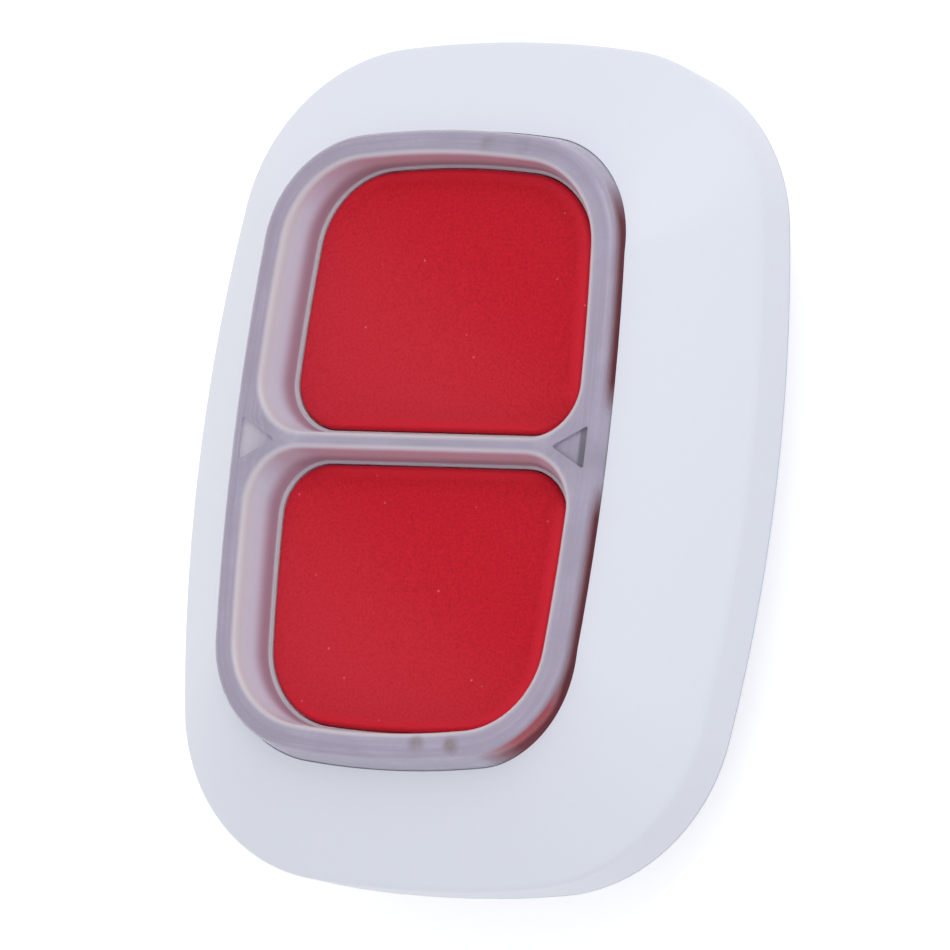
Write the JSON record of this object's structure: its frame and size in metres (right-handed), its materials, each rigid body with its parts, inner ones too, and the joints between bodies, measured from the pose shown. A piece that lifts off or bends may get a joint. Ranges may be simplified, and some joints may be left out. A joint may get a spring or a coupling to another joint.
{
  "type": "wireless panic button",
  "caption": "Palm-sized wireless panic button: white domed case, clear light frame and recessed red keys that are pressed together to raise an alarm",
  "frame": {"origin": "centre of the footprint on the flat back, which lies at z = 0", "axes": "+Z out of the keys, +Y along the case from the lower key to the upper key, +X to the right seen from the keys"},
  "size_m": [0.035, 0.047, 0.016],
  "materials": {
    "case": "satin white moulded plastic",
    "red_key": "fine matte red plastic",
    "clear_frame": "lightly frosted clear plastic",
    "seal_rubber": "matte moulded seal",
    "boot_rubber": "milky silicone",
    "board_green": "solder-masked laminate",
    "chip_black": "moulded black epoxy",
    "plunger_grey": "smooth grey plastic",
    "capacitor_tan": "fired ceramic",
    "lamp_clear": "clear resin over a small amber die",
    "contact_metal": "nickel-plated sheet",
    "cell_steel": "brushed stainless steel"
  },
  "bodies": {
    "casing": {"front_case": "case", "rear_cover": "case", "case_seal": "seal_rubber", "light_frame": "clear_frame", "upper_boot": "boot_rubber", "lower_boot": "boot_rubber", "circuit_board": "board_green", "upper_switch_body": "chip_black", "lower_switch_body": "chip_black", "upper_switch_dome": "contact_metal", "lower_switch_dome": "contact_metal", "upper_switch_leads": "contact_metal", "lower_switch_leads": "contact_metal", "coin_cell": "cell_steel", "battery_clip": "contact_metal", "negative_contact": "contact_metal", "radio_chip": "chip_black", "crystal": "cell_steel", "storage_capacitor": "capacitor_tan", "chip_capacitors": "capacitor_tan", "antenna": "contact_metal", "board_screws": "cell_steel", "top_left_lamp": "lamp_clear", "top_right_lamp": "lamp_clear", "bottom_left_lamp": "lamp_clear", "bottom_right_lamp": "lamp_clear"},
    "upper_button": {"upper_button": "red_key", "upper_switch_plunger": "plunger_grey"},
    "lower_button": {"lower_button": "red_key", "lower_switch_plunger": "plunger_grey"}
  },
  "joints": [
    {"name": "upper_button_press", "type": "slide", "parent": "casing", "child": "upper_button", "axis": [0, 0, -1], "range_m": [0, 0.0004], "stiffness_N_per_m": 4000, "springref_m": -0.0002, "deforming": ["upper_boot", "upper_switch_dome"]},
    {"name": "lower_button_press", "type": "slide", "parent": "casing", "child": "lower_button", "axis": [0, 0, -1], "range_m": [0, 0.0004], "stiffness_N_per_m": 4000, "springref_m": -0.0002, "deforming": ["lower_boot", "lower_switch_dome"]}
  ]
}
